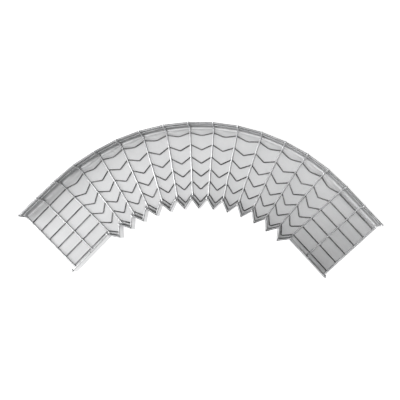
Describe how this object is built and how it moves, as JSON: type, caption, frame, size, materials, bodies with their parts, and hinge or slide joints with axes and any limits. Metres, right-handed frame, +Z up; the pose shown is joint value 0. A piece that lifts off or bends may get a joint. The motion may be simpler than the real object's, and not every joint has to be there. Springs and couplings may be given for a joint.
{
  "type": "curved mesh channel",
  "caption": "Curved open-topped channel of crimped wire mesh lined with bright sheet metal, with pleats folded into its inner side and short straight ends.",
  "frame": {"origin": "under the middle of the bounding box, at the underside of the floor sheet", "axes": "+X along the longest extent, from one end of the channel towards the other; +Y from the bend's centre towards the outer side in the middle of the bend; +Z up, out of the open top"},
  "size_m": [1.461, 0.6122, 0.1107],
  "materials": {
    "lining_sheet": "bright, evenly rolled sheet, soft sheen",
    "long_wire": "bright plated wire",
    "rib_wire": "bright plated wire"
  },
  "bodies": {
    "root": {"floor_sheet": "lining_sheet", "floor_wire_1": "long_wire", "floor_wire_2": "long_wire", "floor_wire_3": "long_wire", "floor_wire_4": "long_wire", "floor_wire_5": "long_wire", "floor_wire_6": "long_wire", "inner_rim_wire": "long_wire", "inner_side_sheet": "lining_sheet", "inner_side_wire": "long_wire", "outer_rim_wire": "long_wire", "outer_side_sheet": "lining_sheet", "outer_side_wire": "long_wire", "rib_wire_01": "rib_wire", "rib_wire_02": "rib_wire", "rib_wire_03": "rib_wire", "rib_wire_04": "rib_wire", "rib_wire_05": "rib_wire", "rib_wire_06": "rib_wire", "rib_wire_07": "rib_wire", "rib_wire_08": "rib_wire", "rib_wire_09": "rib_wire", "rib_wire_10": "rib_wire", "rib_wire_11": "rib_wire", "rib_wire_12": "rib_wire", "rib_wire_13": "rib_wire", "rib_wire_14": "rib_wire", "rib_wire_15": "rib_wire", "rib_wire_16": "rib_wire", "rib_wire_17": "rib_wire", "rib_wire_18": "rib_wire"}
  },
  "joints": []
}
